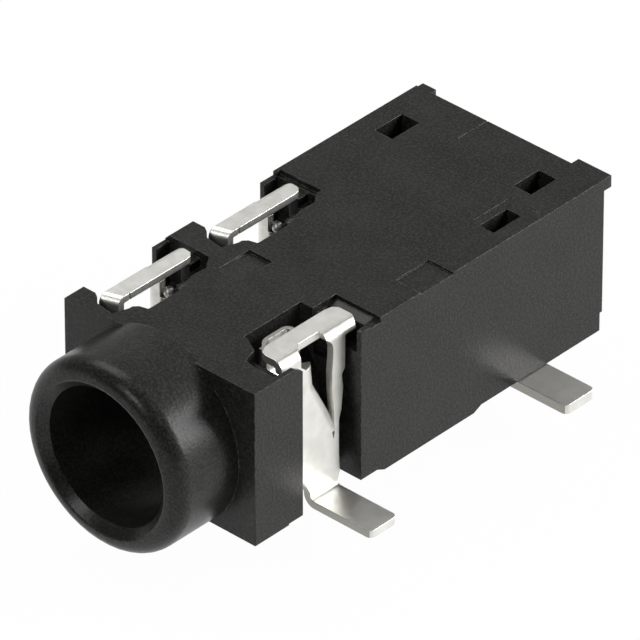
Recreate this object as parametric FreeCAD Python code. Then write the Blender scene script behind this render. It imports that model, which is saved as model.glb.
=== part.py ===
import FreeCAD, Part
import os
import math

# Audio jack socket for a 3.5 mm plug, surface mounted on a board. Sizes in mm.
# Working frame while building: x across (right as seen by someone looking into the mouth),
# y rearward from the housing's front face, z up from the housing's underside.
# At the end every piece moves so that the origin is the centre of the front locating post
# in the board plane, +Z away from the board, the mouth facing -Y.

V = FreeCAD.Vector

# Housing
width = 6.0
length = 12.0
height = 4.24
axis_z = 2.0              # plug axis above the underside
nose_d = 5.0
nose_len = 2.0
nose_round = 0.44
lip_round = 0.08
bore_d = 3.6
mouth_d = 4.04
tip_hole_d = 2.6          # opening in the rear wall for the tip of the plug
rear_wall = 0.7
edge_bevel = 0.12
rear_bevel = 0.05
thin_wall = 0.14          # walls left outside the pockets
core_depth = 1.25         # cored holes in the top
core_w = 0.56
core_l = 0.95
core_left_in = 1.81       # sides of the cored holes, from the middle
core_right_in = 1.60
core_side_in = 2.14
core_left_end = 2.10      # front ends of the cored holes, from the rear face
core_right_end = 1.63
core_side_end = 3.42
mark_depth = 0.015        # faint mould steps in the top
mark_w = 0.04
near_mark_in = 1.88       # mould steps: place from the middle, from the rear face, and length
near_mark_end = 3.33
near_mark_l = 1.30
cross_mark_in = 2.42
cross_mark_end = 2.09
cross_mark_l = 0.50
rear_mark_in = 0.66
rear_mark_l = 1.03
left_mark_end = 2.77
left_mark_l = 0.65
dish_depth = 0.08         # sloping recess on the left
dish_in = 0.38
dish_w = 0.73
dish_l = 1.07
dish_y = 3.15
flat_depth = 0.05         # even recess at the right edge
flat_w = 0.78
flat_l = 1.13
flat_y = 5.60
tab_out = 0.25            # rear tabs beyond the rear face
tab_h = 0.32
set_in = 0.08             # lower part of the rear face
set_in_h = 0.5
pad_drop = 0.12           # stand-off pads below the underside
pad_slope = 0.26
pad_w = 0.8
board_gap = 0.27          # board plane below the underside
post_d = 1.0
post_len = 0.8            # below the board plane
post_front_y = 2.0
post_pitch = 7.0
post_bevel = 0.15

# Terminals
sheet = 0.2
left_sheet = 0.18
rear_sheet = 0.25
left_bend = 0.03
bend_in = 0.06            # inner radius of the bends along the top strips
foot_bend = 0.12          # inner radius of the bends at the feet
foot_reach = 4.5          # ends of the feet from the middle
foot_w = 0.92
foot_round = 0.14
plate_in = 0.39           # outer face of the right upright plate, in from the housing's side
left_in = 0.52            # the same for the left plates
slot_gap = 0.04           # clearance of the metal in its slots
fold_room = 0.3           # height of the folds below the strips' top
contact_in = 0.20         # contact domes beyond the wall of the bore
dome_r = 0.5
arm_h = 1.3               # height of a spring arm at the plug
arm_sheet = 0.11

# Right front terminal and its pocket
right_y = 1.61            # front of the slot
right_slot = 1.97         # length of the slot
right_strip_w = 0.77
right_strip_l = 2.60
free_edge = 0.27          # strip's edge over the window, in from the plate
right_column = 1.86       # rear edge of the rear column, from the front of the slot
right_seat = 0.38         # pocket behind the slot
ledge_l = 0.28            # sloping ledge behind the strip
rim_w = 0.12              # step around the rear of a pocket
rim_drop = 0.14
pocket_reach = 1.785      # from the side to the pocket's inner edge
curl_r = 0.16
curl_lean = 0.53
curl_top_lean = 0.10
curl_knee_drop = 1.24
curl_foot = 1.45
curl_drop = 0.60          # top of the curl below the top face

# Left terminals, two alike, and their pockets
left_y = 0.59
left_slot = 2.34
pitch = 3.68
left_strip_w = 0.57
left_free_edge = 0.105    # strip's free outer edge, in from the plate
left_strip_l = 2.79
left_seat = 0.45
left_reach = 1.85
left_floor = 0.4          # shallow floor beside the strip
front_slant = 19          # fold line of the strip's front end, in degrees
left_fold = 1.60          # front of the folded column, from the front of the slot
left_column = 2.06        # rear edge of the column
left_column_w = 0.26
left_arm_end = 2.27       # rear end of the contact arm
left_arm_drop = 0.74      # top of the arm below the top face

# Right rear terminal
rear_y = 2.95             # front edge of the foot, from the rear face
rear_foot_w = 1.02
rear_plate_l = 2.0
rear_plate_x = 2.12
rear_plate_top = 3.7
rear_bend = 0.035

side = width / 2
bore_r = bore_d / 2
plate_x = side - plate_in
left_x = side - left_in
curl_knee = height - curl_knee_drop
board_z = -board_gap
above = height + 1.0
below = -1.0


def box(x0, x1, y0, y1, z0, z1):
    return Part.makeBox(x1 - x0, y1 - y0, z1 - z0, V(x0, y0, z0))


def prism(points, low, high):
    """Straight block over a plan outline given as (x, y) points."""
    ring = [V(x, y, low) for x, y in points]
    return Part.Face(Part.makePolygon(ring + ring[:1])).extrude(V(0, 0, high - low))


def side_block(points, x0, x1):
    """Straight block along x over a side outline given as (y, z) points."""
    ring = [V(x0, y, z) for y, z in points]
    return Part.Face(Part.makePolygon(ring + ring[:1])).extrude(V(x1 - x0, 0, 0))


def front_block(points, y0, y1):
    """Straight block along y over a front outline given as (x, z) points."""
    ring = [V(x, y0, z) for x, z in points]
    return Part.Face(Part.makePolygon(ring + ring[:1])).extrude(V(0, y1 - y0, 0))


def rod(radius, y0, y1):
    """Round bar on the plug axis."""
    return Part.makeCylinder(radius, y1 - y0, V(0, y0, axis_z), V(0, 1, 0))


def smooth(outline, radius):
    """Outline with every corner rounded a little, as a list of points."""
    out = []
    count = len(outline)
    for i in range(count):
        before, here, after = outline[i - 1], outline[i], outline[(i + 1) % count]
        p = V(here[0], here[1], 0)
        a = V(before[0], before[1], 0) - p
        b = V(after[0], after[1], 0) - p
        cut = min(radius, a.Length * 0.45, b.Length * 0.45)
        a.normalize()
        b.normalize()
        for k in range(3):
            t = k / 2
            q = (p + a * cut) * ((1 - t) ** 2) + p * (2 * t * (1 - t)) + (p + b * cut) * (t ** 2)
            out.append((q.x, q.y))
    return out


def bend_points(a, b, c, radius, off):
    """Start, middle and end of the round at b, for the side that lies off from the path."""
    d1 = b - a
    d2 = c - b
    d1.normalize()
    d2.normalize()
    turn = math.acos(max(-1.0, min(1.0, d1.dot(d2))))
    sign = 1 if d1.cross(d2).z > 0 else -1
    reach = radius * math.tan(turn / 2)
    n1 = V(-d1.y, d1.x, 0)
    n2 = V(-d2.y, d2.x, 0)
    centre = b - d1 * reach + n1 * (sign * radius)
    outward = b - centre
    outward.normalize()
    start = b - d1 * reach + n1 * off
    end = b + d2 * reach + n2 * off
    return start, centre + outward * (radius - sign * off), end


def offset_point(a, b, at, off):
    d = b - a
    d.normalize()
    return at + V(-d.y, d.x, 0) * off


def ribbon(path, thick, bends, lift):
    """Face of a bent sheet. path is the line through its middle, lift puts (u, v) into space."""
    pts = [V(u, v, 0) for u, v in path]
    edges = []
    ends = []
    for off in (thick / 2, -thick / 2):
        first = offset_point(pts[0], pts[1], pts[0], off)
        here = first
        for i in range(1, len(pts) - 1):
            radius = bends[i - 1] + thick / 2
            start, middle, end = bend_points(pts[i - 1], pts[i], pts[i + 1], radius, off)
            edges.append(Part.makeLine(lift(here), lift(start)))
            edges.append(Part.Arc(lift(start), lift(middle), lift(end)).toShape())
            here = end
        last = offset_point(pts[-2], pts[-1], pts[-1], off)
        edges.append(Part.makeLine(lift(here), lift(last)))
        ends.append((first, last))
    edges.append(Part.makeLine(lift(ends[0][0]), lift(ends[1][0])))
    edges.append(Part.makeLine(lift(ends[0][1]), lift(ends[1][1])))
    return Part.Face(Part.Wire(Part.__sortEdges__(edges)))


def folded(path, y0, y1, bends, thick):
    """Sheet bent across the jack: path in (x, z), as wide as y0 to y1."""
    face = ribbon(path, thick, bends, lambda p: V(p.x, y0, p.y))
    return face.extrude(V(0, y1 - y0, 0))


def wrapped(path, z0, z1, bends, thick, lean=0.0):
    """Sheet bent in plan: path in (x, y), standing from z0 to z1, leaning back by lean."""
    face = ribbon(path, thick, bends, lambda p: V(p.x, p.y, z0))
    return face.extrude(V(0, -lean * (z1 - z0), z1 - z0))


def dome(x, y, reach, room):
    """Pressed contact dome toward the plug: part of a ball whose tip is at reach."""
    s = 1 if x > 0 else -1
    ball = Part.makeSphere(dome_r, V(s * (reach + dome_r), y, axis_z))
    half = arm_h / 2
    return ball.common(box(min(0, x), max(0, x), y - room, y + room, axis_z - half, axis_z + half))


def one(shape):
    """The single solid of a fused piece."""
    clean = shape.removeSplitter()
    assert len(clean.Solids) == 1, "piece falls apart into %d" % len(clean.Solids)
    return clean.Solids[0]


def turned(edges):
    """Body of a half section turned about the plug axis."""
    return Part.Face(Part.Wire(edges)).revolve(V(0, 0, axis_z), V(0, 1, 0), 360)


def nose():
    """Round nose: rounded outer edge, flat ring, rounded lip and chamfered mouth."""
    r = nose_d / 2
    front = -nose_len
    k = nose_round * (1 - math.cos(math.pi / 4))
    half = math.radians(22.5)
    reach = lip_round * math.tan(half)
    lip = mouth_d / 2
    floor_r = bore_r - 0.1
    z = axis_z
    a = V(0, thin_wall, z)
    b = V(r, thin_wall, z)
    c = V(r, front + nose_round, z)
    d = V(r - k, front + k, z)
    e = V(r - nose_round, front, z)
    f = V(lip + reach, front, z)
    g = V(lip + reach - lip_round * math.sin(half), front + lip_round * (1 - math.cos(half)), z)
    h = V(lip - reach * math.sqrt(0.5), front + reach * math.sqrt(0.5), z)
    i = V(floor_r, front + lip - floor_r, z)
    j = V(0, front + lip - floor_r, z)
    edges = [Part.makeLine(a, b), Part.makeLine(b, c), Part.Arc(c, d, e).toShape(), Part.makeLine(e, f)]
    edges += [Part.Arc(f, g, h).toShape(), Part.makeLine(h, i), Part.makeLine(i, j), Part.makeLine(j, a)]
    return turned(edges)


def bore():
    """Way of the plug: straight bore and a smaller hole in the rear wall."""
    main = rod(bore_r, -nose_len - 0.5, length - rear_wall)
    tip = rod(tip_hole_d / 2, length - rear_wall - 0.1, length + 1)
    return main.fuse(tip)


def right_pocket():
    """Slot through the right side and the pocket in the top for the front right terminal."""
    y0 = right_y
    y1 = right_y + right_slot
    y2 = y1 + right_seat
    inner = side - pocket_reach
    wall = side - thin_wall
    behind = plate_x - sheet - 0.35
    slot = box(behind, side + 1, y0, y1, below, above)
    plan = [(inner, y1 - 0.12), (inner, y0 - 0.06), (inner + 0.18, y0 - 0.11), (inner + 0.56, y0 - 0.31)]
    plan += [(inner + 0.62, y0 - 0.37), (wall, y0 - 0.37), (wall, y1), (inner + 0.38, y1)]
    plan += [(inner + 0.38, y1 - 0.12)]
    deep = prism(plan, axis_z + 1.0, above)
    plan = [(inner + 0.52, y0 - 0.2), (inner + 0.56, y0 - 0.31), (inner + 0.70, y0 - 0.75)]
    plan += [(inner + 1.1, y0 - 0.81), (wall, y0 - 0.81), (wall, y0 - 0.2)]
    front = prism(plan, height - 0.3, above)
    spring_room = box(inner, behind + 0.1, y0 - 0.06, y1 - 0.12, axis_z - 1.05, above)
    grip = box(plate_x - sheet - slot_gap, plate_x + slot_gap, y0 - 0.1, y0 + 0.1, 0.9, height)
    seat = box(inner + 0.38, wall, y1 - 0.2, y2, height - sheet, above)
    flap_room = box(plate_x - sheet - 0.2, wall, y1 - 0.2, y2, height - 0.7, above)
    end = y2 + ledge_l
    slope = [(y2 - 0.02, height - sheet), (end, height - rim_drop + 0.03), (end, above), (y2 - 0.02, above)]
    ledge = side_block(slope, inner + 0.38, wall - 0.08)
    rim = box(wall - 0.08, side + 1, y1 + 0.3, end, height - rim_drop, above)
    top = [(y1 - 0.1, height - 0.19), (y1 + 0.08, height - 0.1), (end, height - 0.1)]
    top += [(end, above), (y1 - 0.1, above)]
    lip = side_block(top, wall - 0.02, side + 1)
    return [slot, deep, front, spring_room, grip, seat, flap_room, ledge, rim, lip]


def left_plan(y0, y1):
    """Plan of the left pocket's deep part: recess in the front wall, small lobe, straight inner edge."""
    inner = -side + left_reach
    wall = -side + thin_wall
    pts = [(0.38, y0), (0.64, y0 - 0.16), (0.83, y0 - 0.35), (1.36, y0 - 0.42), (1.50, y0 - 0.01)]
    pts += [(1.51, y0 + 0.11), (1.615, y0 + 0.22), (1.836, y0 + 0.28)]
    front = [(x - side, y) for x, y in pts]
    back = y1 + left_seat
    arm_side = inner - 0.61
    rest = [(inner, y0 + 0.32), (inner, y1 - 1.0), (inner - 0.3, y1 - 0.62), (arm_side, y1 - 0.5)]
    rest += [(arm_side, y1 + 0.1), (arm_side - 0.4, y1 + 0.1), (arm_side - 0.4, back)]
    rest += [(wall, back), (wall, y0)]
    return front + rest


def left_pocket(dy, drop):
    """Slot through the left side and the pocket in the top for a left terminal."""
    y0 = left_y + dy
    y1 = y0 + left_slot
    back = y1 + left_seat
    wall = -side + thin_wall
    inner = -side + left_reach
    behind = -left_x + left_sheet + 0.4
    slot = box(-side - 1, behind, y0, y1, below, above)
    deep = prism(left_plan(y0, y1), height - 1.3, above)
    spring_room = box(behind - 0.1, -bore_r + 0.6, y0 + 0.3, y1 - 0.03, axis_z - 1.05, height - 0.7)
    plan = [(inner, y1 - 1.02), (inner - 0.2, y1 - 0.4), (inner - 0.18, y1 + 0.06), (inner - 0.45, back)]
    plan += [(behind + 0.02, back), (behind + 0.02, y1 - 1.02)]
    shallow = prism(plan, height - left_floor, above)
    seat = box(wall, inner - 0.45, y1 - 0.1, back, height - left_sheet, above)
    ledge = box(-side - 1, wall, y1 - 0.14, back, height - 0.16, above)
    cuts = [slot, deep, spring_room, shallow, seat, ledge]
    if drop:
        cuts.append(box(wall, inner - 0.41, y1, back + rim_w, height - rim_drop, above))
    return cuts


def rear_cavity():
    """Room for the rear right terminal, entered from below, and the cored holes in the top."""
    y0 = length - rear_y
    low = height - core_depth
    outer = rear_plate_x + rear_sheet / 2 + foot_bend + slot_gap
    room = box(bore_r - 0.35, outer, y0 - 0.1, y0 + rear_plate_l, below, rear_plate_top + 0.08)
    y1 = length - core_right_end
    y2 = length - core_side_end
    y3 = length - core_left_end
    right = box(core_right_in, core_right_in + core_w, y1, y1 + core_l * 0.93, low, above)
    edge = box(core_side_in, core_side_in + core_w * 0.8, y2, y2 + core_l, low, above)
    left = box(-core_left_in - core_w, -core_left_in, y3, y3 + core_l, low, above)
    return [room, right, edge, left]


def shallow_marks():
    """Shallow recesses and faint mould steps in the top face."""
    h = height
    w = mark_w
    right = box(side - flat_w, side + 1, flat_y, flat_y + flat_l, h - flat_depth, above)
    end = dish_y + dish_l
    ramp = [(dish_y, h), (end, h - dish_depth), (end, above), (dish_y, above)]
    ramp = side_block(ramp, -dish_in - dish_w, -dish_in)
    deep = h - mark_depth
    rear = box(-rear_mark_in - w, -rear_mark_in, length - rear_mark_l, length + 1, deep, above)
    y = length - near_mark_end
    near = box(near_mark_in, near_mark_in + w, y, y + near_mark_l, deep, above)
    y = length - cross_mark_end
    cross = box(cross_mark_in, cross_mark_in + cross_mark_l, y, y + w, deep, above)
    y = length - left_mark_end
    left = box(-side - 1, -side + left_mark_l, y, y + w, deep, above)
    return [right, ramp, rear, near, cross, left]


def edge_cut(bevel, y0, y1):
    """Wedge that bevels the left top edge."""
    ring = [(-side - 1, height - bevel - 1), (-side - 1, above), (bevel + 1 - side, above)]
    return front_block(ring, y0, y1)


def outer_edges():
    """Small bevels along the left top edge and the softened rear edges of the ears."""
    split = left_y + pitch + left_slot + left_seat
    cuts = [edge_cut(edge_bevel, -1, split), edge_cut(rear_bevel, split, length + 1)]
    h = height
    for y in (left_y, left_y + pitch):
        ring = [(y - 0.07, h), (y, h - 0.12), (y, above), (y - 0.07, above)]
        cuts.append(side_block(ring, -side, -side + 0.7))
    y = right_y
    cuts.append(side_block([(y - 0.25, h), (y, h - 0.17), (y, above), (y - 0.25, above)],
                           side - thin_wall - 0.01, side + 1))
    cuts.append(box(side - 1.0, side + 1, right_y - 0.47, right_y + 0.01, below, 0.04))
    return cuts


def rear_details():
    """Lower part of the rear face set in, and the last step of the left side."""
    low = box(-side - 1, side + 1, length - set_in, length + 1, below, set_in_h)
    left = box(-side - 1, -side + 0.1, length - 0.3, length + 1, below, height - tab_h)
    return [low, left]


def rear_tabs():
    """Two small tabs that stand out at the top of the rear face."""
    z0 = height - tab_h
    right = box(side - 1.03, side, length - 0.2, length + tab_out, z0, height)
    left = box(-side + 0.1, -side + 0.52, length - 0.2, length + tab_out * 0.7, z0, height)
    return [right, left]


def pad(x0, x1, y0, y1):
    """Stand-off pad on the underside with sloped ends."""
    ring = [(y0, 0.05), (y0, 0.0), (y0 + pad_slope, -pad_drop), (y1 - pad_slope, -pad_drop)]
    ring += [(y1, 0.0), (y1, 0.05)]
    return side_block(ring, x0, x1)


def pads():
    second = left_y + pitch + left_slot
    right = pad(side - pad_w, side, right_y + right_slot + 0.56, length - rear_y - 1.3)
    left = pad(-side, -side + pad_w, second + 1.0, length - 0.8)
    return [right, left]


def locating_posts():
    """Two plain posts with bevelled ends for the holes of the board."""
    out = []
    r = post_d / 2
    bottom = board_z - post_len
    for y in (post_front_y, post_front_y + post_pitch):
        shaft = Part.makeCylinder(r, -bottom - post_bevel + 0.1, V(0, y, bottom + post_bevel))
        out.append(shaft)
        out.append(Part.makeCone(r - post_bevel, r, post_bevel, V(0, y, bottom)))
    return out


def make_housing():
    body = box(-side, side, 0, length, 0, height)
    body = body.multiFuse([nose()] + rear_tabs() + pads() + locating_posts())
    cuts = [bore()] + right_pocket() + left_pocket(0.0, False) + left_pocket(pitch, True)
    cuts += rear_cavity() + shallow_marks() + outer_edges() + rear_details()
    return one(body.cut(cuts))


def foot_outline(x0, x1, y0, y1):
    """Plan of a foot with its outer corners rounded; x1 is the outer end."""
    s = 1 if x1 > x0 else -1
    r = foot_round
    pts = [(x0, y0)]
    for k in range(6):
        a = math.pi / 2 * k / 5
        pts.append((x1 - s * r + s * r * math.sin(a), y0 + r - r * math.cos(a)))
    for k in range(6):
        a = math.pi / 2 * k / 5
        pts.append((x1 - s * r + s * r * math.cos(a), y1 - r + r * math.sin(a)))
    return pts + [(x0, y1)]


def foot_keep(x_in, x_out, y0, y1, top):
    """Room in which a foot keeps its full form."""
    return prism(foot_outline(x_in, x_out, y0, y1), board_z - 0.5, top)


def right_plate(y):
    """Side outline of the front right terminal: wide below, two columns, flaps beside the strip."""
    h = height
    end = y - 0.29 + right_strip_l
    rear = y + right_column
    pts = [(y + 0.67, -1), (y + 0.67, 0.10), (y + 0.49, 0.45), (y + 0.01, 0.95), (y - 0.06, 1.20)]
    pts += [(y - 0.06, h - 0.55), (y - 0.29, h - 0.35)]
    pts += [(y - 0.29, above), (end + 0.09, above), (end - 0.05, h - 0.27), (rear, h - 0.27)]
    pts += [(rear, h - 0.6), (rear - 0.01, h - 1.19), (y + 1.74, h - 1.32), (y + 1.79, h - 1.68)]
    pts += [(y + 1.73, 1.95), (y + 1.65, 1.70), (y + 1.65, 0.80), (y + 1.68, 0.28), (y + 1.63, 0.12)]
    pts += [(y + 1.59, 0.0)]
    pts += [(y + 1.59, -1)]
    return pts


def curl_y(z):
    """Rear edge of the front column, leaning forward with height."""
    low = min(z, curl_knee)
    return right_y + 1.42 - curl_lean * (low - curl_foot) - curl_top_lean * (z - low)


def right_window(y):
    """Tapered window between the two columns, open up to the strip's edge."""
    h = height
    pts = [(y + 0.35, above), (y + 0.37, h - 0.46), (curl_y(h - curl_drop), h - curl_drop)]
    pts += [(curl_y(curl_knee), curl_knee), (curl_y(curl_foot), curl_foot)]
    pts += [(y + 1.47, 1.24), (y + 1.50, 1.35), (y + 1.49, 2.0), (y + 1.43, h - 1.64), (y + 1.42, h - 1.14)]
    pts += [(y + 1.46, h - 0.74), (y + 1.46, h - 0.46), (y + 1.42, h - 0.32), (y + 1.33, h - 0.22)]
    pts += [(y + 1.24, h - 0.15), (y + 1.22, above)]
    return pts


def right_strip(y):
    """Plan of the top strip with its rounded rear end."""
    a = plate_x - right_strip_w
    b = plate_x + 0.1
    end = y - 0.29 + right_strip_l
    pts = [(a, y + 0.07), (a + 0.02, y - 0.05), (a + 0.11, y - 0.23), (a + 0.30, y - 0.31), (b, y - 0.33)]
    pts += [(b, end - 0.14), (plate_x - 0.08, end - 0.07), (plate_x - 0.22, end - 0.01), (a + 0.33, end)]
    pts += [(a + 0.16, end - 0.03), (a + 0.05, end - 0.12), (a, end - 0.32)]
    return pts


def make_right_front():
    y = right_y
    mid = plate_x - sheet / 2
    top = height - sheet / 2
    foot = board_z + sheet / 2
    strip_in = plate_x - right_strip_w
    path = [(foot_reach, foot), (mid, foot), (mid, top), (strip_in, top)]
    body = folded(path, y - 0.29, y - 0.29 + right_strip_l, [foot_bend, bend_in], sheet)
    body = body.common(side_block(smooth(right_plate(y), 0.05), strip_in - 0.1, foot_reach + 0.1))
    opening = side_block(right_window(y), plate_x - 0.4, plate_x + 0.1)
    free = plate_x - free_edge
    plan = [(side, y), (plate_x - 0.04, y + 0.30), (free, y + 0.56), (free, y + 2.0), (side, y + 2.0)]
    body = body.cut(opening.common(prism(plan, below, above)))
    keep = foot_keep(plate_x - 0.6, foot_reach, y + 0.67, y + 0.67 + foot_w, 0.6)
    upright = box(plate_x - 2 * sheet, plate_x, 0, length, board_z + sheet / 2, height - fold_room)
    keep = keep.fuse([upright, prism(right_strip(y), height - 2 * fold_room, above)])
    body = body.common(keep)
    # the rear edge of the front column is curled inward
    turn = (curl_r + sheet / 2) * math.tan(math.radians(30))
    curls = []
    for z0, z1, lean in ((curl_foot, curl_knee, curl_lean), (curl_knee, height - curl_drop, curl_top_lean)):
        w = curl_y(z0)
        c = [(mid, w - 0.05), (mid, w + turn), (mid - turn * 0.9, w + turn * 1.52)]
        curls.append(wrapped(c, z0, z1, [curl_r], sheet, lean))
    # a curved lobe beside the strip carries the spring arm with its contact dome
    x0 = strip_in - 0.28
    x1 = bore_r + 0.08
    lobe = [(strip_in + 0.14, y - 0.19), (x0, y + 0.25), (x0, y + 1.03), (strip_in + 0.06, y + 1.03)]
    lobe = wrapped(lobe, height - 0.75, height - 0.1, [0.25, 0.1], arm_sheet)
    arm = [(x0, height - 0.3), (x0, axis_z + 1.25), (x1, axis_z + 0.75), (x1, axis_z - arm_h / 2)]
    arm = folded(arm, y + 0.14, y + 0.94, [0.2, 0.2], arm_sheet)
    bump = dome(x1, y + 0.54, bore_r - contact_in, 0.4)
    return one(body.fuse(curls + [lobe, arm, bump]))


def left_plate(y):
    """Side outline of a left terminal: plate below, one column, flap beside the strip's rear."""
    h = height
    end = y - 0.13 + left_strip_l
    rear = y + left_column
    front = rear - left_column_w
    pts = [(y + 1.03, -1), (y + 1.03, 0.30), (y + 1.12, 0.55), (front - 0.08, 1.10), (front, 1.30)]
    pts += [(front, h - 0.36), (front - 0.08, h - 0.28)]
    pts += [(y - 0.3, h - 0.28), (y - 0.3, above), (end + 0.14, above), (end - 0.06, h - 0.27)]
    pts += [(rear + 0.08, h - 0.27), (rear, h - 0.36), (rear, 0.2)]
    pts += [(rear - 0.04, 0.05), (y + 1.03 + foot_w, 0.0), (y + 1.03 + foot_w, -1)]
    return pts


def left_strip(y):
    """Plan of a left top strip behind its front end, folded to the plate at the rear."""
    a = -left_x + left_strip_w
    b = -left_x + left_free_edge
    c = -left_x - 0.1
    end = y - 0.13 + left_strip_l
    pts = [(a, y + 0.48), (b, y + 0.31), (b, y + 1.50), (c, y + 1.54)]
    pts += [(c, end - 0.28), (c + 0.16, end - 0.16), (c + 0.24, end - 0.06), (c + 0.36, end)]
    pts += [(a - 0.12, end - 0.04), (a - 0.03, end - 0.14), (a, end - 0.28)]
    return pts


def make_left(dy):
    y = left_y + dy
    t = left_sheet
    mid = -left_x + t / 2
    top = height - t / 2
    foot = board_z + t / 2
    strip_in = -left_x + left_strip_w
    path = [(-foot_reach, foot), (mid, foot), (mid, top), (strip_in, top)]
    body = folded(path, y + 0.05, y - 0.13 + left_strip_l, [foot_bend, left_bend], t)
    body = body.common(side_block(smooth(left_plate(y), 0.05), -foot_reach - 0.1, strip_in + 0.1))
    keep = foot_keep(-left_x + 0.6, -foot_reach, y + 1.03, y + 1.03 + foot_w, 0.6)
    upright = box(-left_x, -left_x + 2 * t, 0, length, board_z + t / 2, height - fold_room)
    keep = keep.fuse([upright, prism(left_strip(y), height - 2 * fold_room, above)])
    body = body.common(keep)
    # the free front part of the strip, bent down at its slanted end
    x0 = -left_x + left_free_edge
    turn = math.radians(front_slant)
    along = V(math.cos(turn), math.sin(turn), 0)
    back = V(-along.y, along.x, 0)
    corner = V(x0, y - 0.09, 0)
    path = [(0.6, top), (t / 2, top), (t / 2, height - 1.0)]
    tab = ribbon(path, t, [left_bend], lambda p: corner + back * p.x + V(0, 0, p.y))
    tab = tab.extrude(along * (left_strip_w / math.cos(turn)))
    flat = [(x0, y + 0.30), (strip_in, y + 0.47), (strip_in, y + 1.5), (x0, y + 1.5)]
    tab = tab.fuse(prism(flat, height - t, height))
    tab = tab.common(box(x0, strip_in, y - 0.5, y + 1.5, below, height))
    # the front edge of the column is folded back on itself and runs on as the contact arm
    fold = y + left_fold + t / 2
    x1 = -bore_r - 0.13
    path = [(mid, y + left_column - 0.11), (mid, fold), (x1, fold), (x1, y + left_arm_end)]
    arm = wrapped(path, axis_z - arm_h / 2, height - 0.33, [left_bend, left_bend], t)
    arm = arm.cut(box(x1 - 0.12, 0, y, y + left_strip_l, height - left_arm_drop, above))
    bump = dome(-bore_r - 0.06, y + 2.05, bore_r - contact_in, 0.22)
    lug = Part.makeSphere(0.15, V(x1, fold + 0.10, height - 0.65))
    return one(body.fuse([tab, arm, bump, lug]))


def make_right_rear():
    y = length - rear_y
    t = rear_sheet
    y1 = y + rear_foot_w
    end = y + rear_plate_l
    foot = board_z + t / 2
    path = [(foot_reach, foot), (rear_plate_x, foot), (rear_plate_x, rear_plate_top)]
    body = folded(path, y, end, [foot_bend], t)
    plate = [(y, -1), (y, rear_plate_top), (end, rear_plate_top), (end, 0.4), (y1 + 0.25, 0.4)]
    plate += [(y1, 0.15), (y1, -1)]
    body = body.common(side_block(plate, 0, foot_reach + 1))
    keep = foot_keep(rear_plate_x - 1, foot_reach, y, y1, 0.2)
    keep = keep.fuse(box(rear_plate_x - 1, rear_plate_x + 0.5, y - 1, end + 1, 0.1, above))
    body = body.common(keep)
    x1 = bore_r + 0.02
    arm = [(rear_plate_x, end - 0.5), (rear_plate_x, end - t / 2), (x1, end - t / 2), (x1 - 0.08, y + 0.35)]
    arm = wrapped(arm, axis_z - 0.45, axis_z + 0.45, [rear_bend, rear_bend], t * 0.8)
    bump = dome(x1, y + 0.75, bore_r - contact_in, 0.5)
    return one(body.fuse([arm, bump]))


def save(name, shape):
    moved = shape.translated(V(0, -post_front_y, -board_z))
    moved.exportStep("parts/" + name + ".step")
    bb = moved.BoundBox
    print(name, "valid", moved.isValid(), "volume", round(moved.Volume, 3))
    print("  x", round(bb.XMin, 3), round(bb.XMax, 3), "y", round(bb.YMin, 3), round(bb.YMax, 3),
          "z", round(bb.ZMin, 3), round(bb.ZMax, 3))


def main():
    os.makedirs("parts", exist_ok=True)
    save("housing", make_housing())
    save("front_right_terminal", make_right_front())
    save("front_left_terminal", make_left(0.0))
    save("middle_left_terminal", make_left(pitch))
    save("rear_right_terminal", make_right_rear())


main()
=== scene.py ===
# %% [markdown]
# # A small audio jack socket
#
# The real part is a black box of glass-filled plastic, 12 mm long, moulded in one shot with a
# round nose for the plug. Four bent pieces of plated sheet metal are pushed into it. They are
# the contacts, and their feet are soldered to a circuit board.
#
# Every solid comes from the CAD model, at its real size. This lesson gives the surfaces: what
# moulded plastic and plated sheet look like from a hand's width away, the light, and the camera.

import math

import bmesh
import bpy
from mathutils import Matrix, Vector


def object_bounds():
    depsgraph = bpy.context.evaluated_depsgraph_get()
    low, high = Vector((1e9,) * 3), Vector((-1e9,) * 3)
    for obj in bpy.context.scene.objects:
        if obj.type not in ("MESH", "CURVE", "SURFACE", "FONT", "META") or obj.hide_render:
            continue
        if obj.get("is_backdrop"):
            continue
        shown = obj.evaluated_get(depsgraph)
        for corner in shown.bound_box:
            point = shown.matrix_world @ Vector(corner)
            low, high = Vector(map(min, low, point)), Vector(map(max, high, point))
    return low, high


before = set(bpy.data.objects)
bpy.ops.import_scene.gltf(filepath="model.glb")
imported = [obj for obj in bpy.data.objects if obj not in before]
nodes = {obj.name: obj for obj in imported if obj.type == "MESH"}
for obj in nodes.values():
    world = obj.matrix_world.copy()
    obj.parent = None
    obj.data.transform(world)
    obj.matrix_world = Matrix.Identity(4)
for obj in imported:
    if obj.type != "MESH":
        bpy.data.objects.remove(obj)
cad_low, cad_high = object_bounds()
MM = 0.001
print("nodes:", sorted(nodes))
print("CAD box in mm:", [round(v / MM, 2) for v in (*cad_low, *cad_high)])

# %% [markdown]
# ## The camera
#
# The photograph was taken with a long lens from the front right, about a third of the way up.
# Its edges were measured, so the camera stands at that angle and distance. A long lens keeps
# the box's edges nearly parallel, which is why the far end looks almost as large as the nose.

# %% Camera
AZIMUTH = math.radians(42.732)
ELEVATION = math.radians(34.449)
DISTANCE = 239.673 * MM
SENSOR = 36       # mm
LENS = 580.3      # mm, focal length for that sensor
LOOK_AT = Vector((0.401, 3.0, 2.842)) * MM

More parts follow.
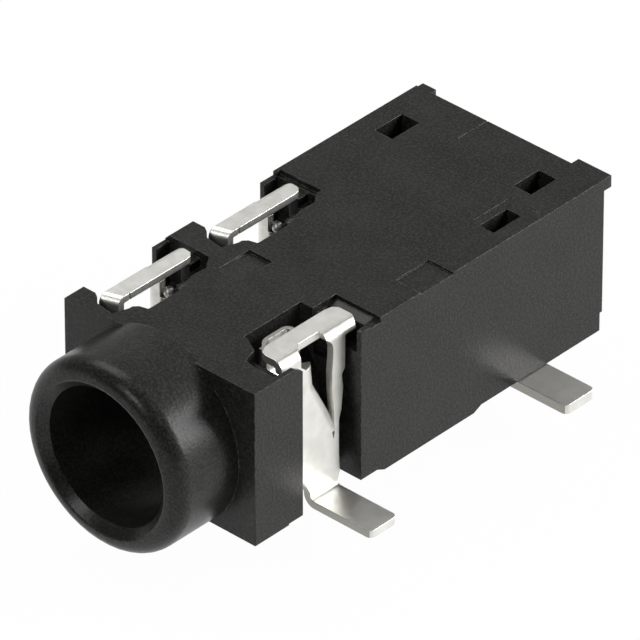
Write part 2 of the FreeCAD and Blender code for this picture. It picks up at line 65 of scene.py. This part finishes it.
back = Vector((math.sin(AZIMUTH) * math.cos(ELEVATION),
               -math.cos(AZIMUTH) * math.cos(ELEVATION),
               math.sin(ELEVATION)))
camera_data = bpy.data.cameras.new("camera")
camera_data.sensor_width = SENSOR
camera_data.lens = LENS
camera_data.clip_start = 0.01
camera_data.clip_end = 5
camera = bpy.data.objects.new("camera", camera_data)
camera.location = LOOK_AT + back * DISTANCE
camera.rotation_euler = back.to_track_quat("Z", "Y").to_euler()
bpy.context.scene.collection.objects.link(camera)
bpy.context.scene.camera = camera
print("camera at mm:", [round(v / MM, 1) for v in camera.location])

# %% [markdown]
# ## Helpers for materials
#
# Colours are picked as sRGB hex values, the way a colour chart gives them, and shaders want
# them linear, so one function turns them. Another adds a shader node with its settings and
# its links in one line, which keeps a material readable from top to bottom. A third turns the
# real size of a pattern into the scale that a noise node asks for.

# %% Colour and node helpers


def linear(code):
    """An sRGB hex colour as the linear RGBA a shader wants."""
    out = []
    for i in (0, 2, 4):
        c = int(code[i:i + 2], 16) / 255
        out.append(c / 12.92 if c <= 0.04045 else ((c + 0.055) / 1.055) ** 2.4)
    return (*out, 1.0)


def add_node(tree, kind, inputs=(), **settings):
    """Adds a shader node. inputs pairs a socket's name or number with a value or another output."""
    node = tree.nodes.new(kind)
    for name, value in settings.items():
        setattr(node, name, value)
    for name, value in dict(inputs).items():
        if isinstance(value, bpy.types.NodeSocket):
            tree.links.new(value, node.inputs[name])
        else:
            node.inputs[name].default_value = value
    return node


def per_mm(size):
    """Noise scale for a pattern that repeats about every size mm, on coordinates in metres."""
    return 1 / (size * MM)


def new_material(name):
    """An empty material with its node tree and Object coordinates."""
    material = bpy.data.materials.new(name)
    material.use_nodes = True
    tree = material.node_tree
    tree.nodes.clear()
    coords = add_node(tree, "ShaderNodeTexCoord").outputs["Object"]
    return material, tree, coords


print("a pattern of 0.1 mm has the noise scale", round(per_mm(0.1)))

# %% [markdown]
# ## Moulded plastic: the skin
#
# The box is a high-temperature plastic filled with short glass fibre and carbon black. The
# plastic flows into the mould in slow clouds about a millimetre across, and the fibre ends
# near the skin make pale specks of a twentieth of a millimetre. The real specks are finer
# still, and are drawn as coarse as they need to be to show in the picture.

# %% Plastic skin
CLOUD = 1.1            # mm, flow clouds in the moulding
SPECK = 0.06           # mm, fibre ends near the skin
SKIN_DARK = "1a1a19"
SKIN_PALE = "232322"
FIBRE = "464643"
FIBRE_SHARE = 0.5      # how much of a speck's colour comes through the skin

plastic, tree, coords = new_material("glass_filled_moulded_plastic")
cloud = add_node(tree, "ShaderNodeTexNoise", {"Vector": coords, "Scale": per_mm(CLOUD), "Detail": 3.0})
speck = add_node(tree, "ShaderNodeTexNoise", {"Vector": coords, "Scale": per_mm(SPECK), "Detail": 2.0})

clouded = add_node(tree, "ShaderNodeValToRGB", {"Fac": cloud.outputs["Fac"]})
clouded.color_ramp.elements[0].position = 0.30
clouded.color_ramp.elements[0].color = linear(SKIN_DARK)
clouded.color_ramp.elements[1].position = 0.70
clouded.color_ramp.elements[1].color = linear(SKIN_PALE)
specked = add_node(tree, "ShaderNodeValToRGB", {"Fac": speck.outputs["Fac"]})
specked.color_ramp.elements[0].position = 0.42
specked.color_ramp.elements[0].color = (0, 0, 0, 1)
specked.color_ramp.elements[1].position = 0.70
specked.color_ramp.elements[1].color = (1, 1, 1, 1)
amount = add_node(tree, "ShaderNodeMath", {0: specked.outputs["Color"], 1: FIBRE_SHARE}, operation="MULTIPLY")
skin = add_node(tree, "ShaderNodeMix",
                {"Factor": amount.outputs[0], "A": clouded.outputs["Color"], "B": linear(FIBRE)},
                data_type="RGBA")
print("clouds of", CLOUD, "mm and specks of", SPECK, "mm")

# %% [markdown]
# ## Moulded plastic: the edges
#
# No moulded edge is razor sharp. The solids leave out radii of a few hundredths of a
# millimetre, and a bevel node bends the shading normals there, so edges catch thin lights.
#
# The same node also finds the edges. Where its bent normal differs from the face's own, there
# is an edge, and there the black skin is painted pale in short stretches: partly rubbing from
# handling and from the mould's parting lines, and partly painted highlight, the thin light
# that the edges catch. A noise node picks the stretches.

# %% Plastic edges
EDGE = 0.035           # mm, radius of the moulded edges
STRETCH = 0.16            # mm, length of the rubbed stretches
# painted highlight and rubbing: pale colour on short stretches of the edges, for the thin light the edges catch and
# for rubbed skin
EDGE_HIGHLIGHT_AND_RUB = "6c6c67"

soft = add_node(tree, "ShaderNodeBevel", {"Radius": EDGE * MM}, samples=6)
flat = add_node(tree, "ShaderNodeNewGeometry")
bent = add_node(tree, "ShaderNodeVectorMath", {0: soft.outputs["Normal"], 1: flat.outputs["Normal"]},
                operation="DOT_PRODUCT")
edge = add_node(tree, "ShaderNodeMapRange",
                {"Value": bent.outputs["Value"], "From Min": 0.98, "From Max": 0.85, "To Min": 0.0, "To Max": 1.0})
stretch = add_node(tree, "ShaderNodeTexNoise", {"Vector": coords, "Scale": per_mm(STRETCH), "Detail": 1.0})
stretch = add_node(tree, "ShaderNodeMapRange",
                {"Value": stretch.outputs["Fac"], "From Min": 0.46, "From Max": 0.62, "To Min": 0.0, "To Max": 0.8})
# mask of the pale edge stretches, partly painted highlight and partly rubbing
highlight_and_rub = add_node(tree, "ShaderNodeMath", {0: edge.outputs["Result"], 1: stretch.outputs["Result"]},
                  operation="MULTIPLY")
colour = add_node(tree, "ShaderNodeMix",
                  {"Factor": highlight_and_rub.outputs[0], "A": skin.outputs["Result"], "B": linear(EDGE_HIGHLIGHT_AND_RUB)},
                  data_type="RGBA")
print("edges of", EDGE, "mm radius, rubbed in stretches of", STRETCH, "mm")

# %% [markdown]
# ## Moulded plastic: the surface
#
# The mould's faces are spark eroded, which leaves a fine even grain. That is too small for
# real geometry, so it is bump. The skin itself is smooth between the grains, so it keeps a
# soft shine: roughness is middling, not chalky, and changes a little with the flow clouds.

# %% Plastic surface
GRAIN = 0.09           # mm, spark-eroded grain of the mould
GRAIN_DEPTH = 0.010    # mm

grain = add_node(tree, "ShaderNodeTexNoise", {"Vector": coords, "Scale": per_mm(GRAIN), "Detail": 2.0})
bump = add_node(tree, "ShaderNodeBump",
                {"Height": grain.outputs["Fac"], "Strength": 0.5, "Distance": GRAIN_DEPTH * MM,
                 "Normal": soft.outputs["Normal"]})
gloss = add_node(tree, "ShaderNodeMapRange",
                 {"Value": cloud.outputs["Fac"], "From Min": 0.3, "From Max": 0.7, "To Min": 0.28, "To Max": 0.36})
surface = add_node(tree, "ShaderNodeBsdfPrincipled",
                   {"Base Color": colour.outputs["Result"], "Roughness": gloss.outputs["Result"],
                    "IOR": 1.5, "Specular IOR Level": 0.21, "Normal": bump.outputs["Normal"]})
add_node(tree, "ShaderNodeOutputMaterial", {"Surface": surface.outputs[0]})
print("plastic grain", GRAIN, "mm, so noise scale", round(per_mm(GRAIN)))

# %% [markdown]
# ## Plated sheet metal: the rolled face
#
# The contacts are punched from a copper alloy strip, bent, and plated with matte tin. The
# plating is a warm pale grey and only half a mirror: the rolled sheet has a slight waviness,
# and the plating's fine crystals scatter part of the light, so the reflections are soft.

# %% Rolled face
WAVE = 0.45            # mm, waviness of the rolled sheet
MATTE = 0.12           # mm, patches in the plating
TIN_DARK = "e2e1db"
TIN_PALE = "edece7"

metal, tree, coords = new_material("matte_tin_plated_copper_alloy")
wave = add_node(tree, "ShaderNodeTexNoise", {"Vector": coords, "Scale": per_mm(WAVE), "Detail": 1.0})
patch = add_node(tree, "ShaderNodeTexNoise", {"Vector": coords, "Scale": per_mm(MATTE), "Detail": 2.0})
tone = add_node(tree, "ShaderNodeValToRGB", {"Fac": wave.outputs["Fac"]})
tone.color_ramp.elements[0].position = 0.35
tone.color_ramp.elements[0].color = linear(TIN_DARK)
tone.color_ramp.elements[1].position = 0.65
tone.color_ramp.elements[1].color = linear(TIN_PALE)
rolled = add_node(tree, "ShaderNodeMapRange",
                  {"Value": patch.outputs["Fac"], "From Min": 0.3, "From Max": 0.7, "To Min": 0.38, "To Max": 0.46})
print("metal waviness", WAVE, "mm, patches", MATTE, "mm")

# %% [markdown]
# ## Plated sheet metal: the punched edges, with painted light and shade on them
#
# The punched edges are a different surface. They are torn, not rolled, so they are duller.
# Their colour also holds painted shade and painted light: a darker copy at the feet and on
# upward faces inside the pockets, and a lighter copy round the window of the right-hand
# contact. On the right-hand contacts the edges look along the y axis, and inside the pockets
# the shaded faces look straight up. That is how the material finds them: from the way a face
# looks, and from its place. The left contacts are folded where the right ones are cut, so what
# looks along y on the left is rolled sheet and stays bright.

# %% Find the punched edges and the painted shade
STRIP_TOP = 4.49       # mm above the board; the rolled tops of the strips lie higher than this
FOOT_TOP = 0.6         # mm above the board; the rolled tops of the feet lie lower than this
# painted shade: a darker copy of the torn colour at the feet and on upward faces inside the pockets
TORN_SHADED = "a3a29b"    # at the feet and inside the pockets
# painted light: a lighter copy of the torn colour round the window of the right-hand contact
TORN_LIT = "dfded8"   # round the window of the right-hand contact

place = add_node(tree, "ShaderNodeSeparateXYZ", {0: coords})
facing = add_node(tree, "ShaderNodeNewGeometry")
facing = add_node(tree, "ShaderNodeSeparateXYZ", {0: facing.outputs["True Normal"]})
along = add_node(tree, "ShaderNodeMath", {0: facing.outputs["Y"]}, operation="ABSOLUTE")
along = add_node(tree, "ShaderNodeMath", {0: along.outputs[0], 1: 0.85}, operation="GREATER_THAN")
upward = add_node(tree, "ShaderNodeMath", {0: facing.outputs["Z"], 1: 0.9}, operation="GREATER_THAN")
under = add_node(tree, "ShaderNodeMath", {0: place.outputs["Z"], 1: STRIP_TOP * MM}, operation="LESS_THAN")
over = add_node(tree, "ShaderNodeMath", {0: place.outputs["Z"], 1: FOOT_TOP * MM}, operation="GREATER_THAN")
between = add_node(tree, "ShaderNodeMath", {0: under.outputs[0], 1: over.outputs[0]}, operation="MULTIPLY")
# upward faces inside the pockets, which get the darker torn colour as painted shade
pocket_shade = add_node(tree, "ShaderNodeMath", {0: upward.outputs[0], 1: between.outputs[0]}, operation="MULTIPLY")
right = add_node(tree, "ShaderNodeMath", {0: place.outputs["X"], 1: 0.0}, operation="GREATER_THAN")
ends = add_node(tree, "ShaderNodeMath", {0: along.outputs[0], 1: right.outputs[0]}, operation="MULTIPLY")
punched_and_shaded = add_node(tree, "ShaderNodeMath", {0: ends.outputs[0], 1: pocket_shade.outputs[0]}, operation="MAXIMUM")

# above the feet the right-hand ends get the lighter torn colour as painted light; below, the darker one as painted
# shade
high = add_node(tree, "ShaderNodeMath", {0: ends.outputs[0], 1: over.outputs[0]}, operation="MULTIPLY")
torn_lit_and_shaded = add_node(tree, "ShaderNodeMix",
                {"Factor": high.outputs[0], "A": linear(TORN_SHADED), "B": linear(TORN_LIT)},
                data_type="RGBA")
print("punched edges are looked for between", FOOT_TOP, "and", STRIP_TOP, "mm")

# %% [markdown]
# ## Plated sheet metal: the surface
#
# The two kinds of surface are mixed by that mask. The punch also drags the sheet over a little
# along its edges, and a bevel node rounds them, so each edge keeps one soft line of light.

# %% Metal surface
ROLL = 0.03            # mm, roll-over that the punch leaves along the edges
WAVE_DEPTH = 0.015     # mm
TORN_ROUGHNESS = 0.5

# the torn colour mixed in here carries the painted shade and painted light
colour = add_node(tree, "ShaderNodeMix",
                  {"Factor": punched_and_shaded.outputs[0], "A": tone.outputs["Color"], "B": torn_lit_and_shaded.outputs["Result"]},
                  data_type="RGBA")
gloss = add_node(tree, "ShaderNodeMix",
                 {"Factor": punched_and_shaded.outputs[0], "A": rolled.outputs["Result"], "B": TORN_ROUGHNESS})
soft = add_node(tree, "ShaderNodeBevel", {"Radius": ROLL * MM}, samples=8)
bump = add_node(tree, "ShaderNodeBump",
                {"Height": wave.outputs["Fac"], "Strength": 0.14, "Distance": WAVE_DEPTH * MM,
                 "Normal": soft.outputs["Normal"]})
surface = add_node(tree, "ShaderNodeBsdfPrincipled",
                   {"Base Color": colour.outputs["Result"], "Roughness": gloss.outputs["Result"],
                    "Metallic": 0.9, "Normal": bump.outputs["Normal"]})
add_node(tree, "ShaderNodeOutputMaterial", {"Surface": surface.outputs[0]})
print("metal edges rolled over by", ROLL, "mm")

# %% [markdown]
# ## Dress the CAD nodes
#
# The housing is plastic and everything else is metal, so each node's one material slot gets
# the matching finish.

# %% Assign the materials
for name, node in nodes.items():
    finish = plastic if name == "housing" else metal
    node.data.materials.clear()
    node.data.materials.append(finish)
    print(name, "->", finish.name)

# %% [markdown]
# ## The floor
#
# Product photographs of such parts are cut out on white. A white floor lies just below the
# locating posts. Shiny surfaces see it as plain white, and so does the camera, apart from a
# trace that keeps the part's soft shadow. Everything else sees an ordinary pale surface, so
# the light on the part stays at a plain level.

# %% Floor
FLOOR_SIZE = 0.6            # metres from the middle to each side
FLOOR_GAP = 0.02            # mm below the posts
PAPER = "e8e8e8"
CAMERA_SHARE = 0.98         # how much of the plain white the camera sees

floor_mesh = bpy.data.meshes.new("floor")
shape = bmesh.new()
bmesh.ops.create_grid(shape, x_segments=1, y_segments=1, size=FLOOR_SIZE)
bmesh.ops.translate(shape, verts=shape.verts, vec=(0, 0, cad_low.z - FLOOR_GAP * MM))
shape.to_mesh(floor_mesh)
shape.free()
floor = bpy.data.objects.new("floor", floor_mesh)
bpy.context.scene.collection.objects.link(floor)

paper, tree, coords = new_material("white_paper_sweep")
matte = add_node(tree, "ShaderNodeBsdfDiffuse", {"Color": linear(PAPER)})
white = add_node(tree, "ShaderNodeEmission", {"Color": (1, 1, 1, 1), "Strength": 1.0})
rays = add_node(tree, "ShaderNodeLightPath")
seen = add_node(tree, "ShaderNodeMath", {0: rays.outputs["Is Camera Ray"], 1: CAMERA_SHARE}, operation="MULTIPLY")
share = add_node(tree, "ShaderNodeMath", {0: seen.outputs[0], 1: rays.outputs["Is Glossy Ray"]},
                 operation="MAXIMUM")
mixed = add_node(tree, "ShaderNodeMixShader", {"Fac": share.outputs[0], 1: matte.outputs[0], 2: white.outputs[0]})
add_node(tree, "ShaderNodeOutputMaterial", {"Surface": mixed.outputs[0]})
floor_mesh.materials.append(paper)
floor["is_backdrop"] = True
print("floor at mm", round(cad_low.z / MM - FLOOR_GAP, 2))

# %% [markdown]
# ## The room
#
# The room is nearly dark on the nose's side and bright behind the part. Black plastic shows
# mostly what it mirrors, so this is what makes the top lighter than the front. The level
# climbs from one side to the other along y, and the camera itself sees plain white.

# %% World
FRONT_LEVEL = 0.03
REAR_LEVEL = 0.43

world = bpy.data.worlds.new("studio")
bpy.context.scene.world = world
world.use_nodes = True
tree = world.node_tree
tree.nodes.clear()
way = add_node(tree, "ShaderNodeTexCoord")
way = add_node(tree, "ShaderNodeSeparateXYZ", {0: way.outputs["Generated"]})
level = add_node(tree, "ShaderNodeMapRange",
                 {"Value": way.outputs["Y"], "From Min": -0.4, "From Max": 0.4,
                  "To Min": FRONT_LEVEL, "To Max": REAR_LEVEL})
dim = add_node(tree, "ShaderNodeBackground", {"Color": (1, 1, 1, 1), "Strength": level.outputs["Result"]})
bright = add_node(tree, "ShaderNodeBackground", {"Color": (1, 1, 1, 1), "Strength": 1.0})
rays = add_node(tree, "ShaderNodeLightPath")
mixed = add_node(tree, "ShaderNodeMixShader",
                 {"Fac": rays.outputs["Is Camera Ray"], 1: dim.outputs[0], 2: bright.outputs[0]})
add_node(tree, "ShaderNodeOutputWorld", {"Surface": mixed.outputs[0]})
print("room level from", FRONT_LEVEL, "in front to", REAR_LEVEL, "behind")

# %% [markdown]
# ## Three softboxes
#
# The key lamp stands high on the left and draws the top strips and the round nose. The rear
# lamp is the strongest, because it lights the long right side at a flat angle. A weak one in
# front keeps the nose's ring from sinking into black. It is the smallest, for a fine line of
# light on the ring's edges. All three are large for so small a part, so the shadows are soft.

# %% Softboxes


def softbox(name, azimuth, elevation, distance, size, watts):
    """A square area lamp aimed at the middle of the part; azimuth 0 is in front of the nose."""
    a, e = math.radians(azimuth), math.radians(elevation)
    way = Vector((math.sin(a) * math.cos(e), -math.cos(a) * math.cos(e), math.sin(e)))
    data = bpy.data.lights.new(name, "AREA")
    data.size = size
    data.energy = watts
    lamp = bpy.data.objects.new(name, data)
    lamp.location = LOOK_AT + way * distance
    lamp.rotation_euler = way.to_track_quat("Z", "Y").to_euler()
    bpy.context.scene.collection.objects.link(lamp)
    print(name, "at mm", [round(v / MM) for v in lamp.location])


softbox("key_softbox", -95, 58, 0.20, 0.12, 0.162)
softbox("rear_softbox", 137, 20, 0.22, 0.12, 0.52)
softbox("front_softbox", -3, 39, 0.22, 0.05, 0.105)

bpy.context.scene.view_settings.view_transform = "Standard"

# %% [markdown]
# ## Sizes
#
# The looks must not change the part's size, so the box is printed again here, to stand beside the CAD box printed
# at the start.

# %% Print the sizes
low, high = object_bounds()
print("visual box in mm:", [round(v / MM, 2) for v in (*low, *high)])
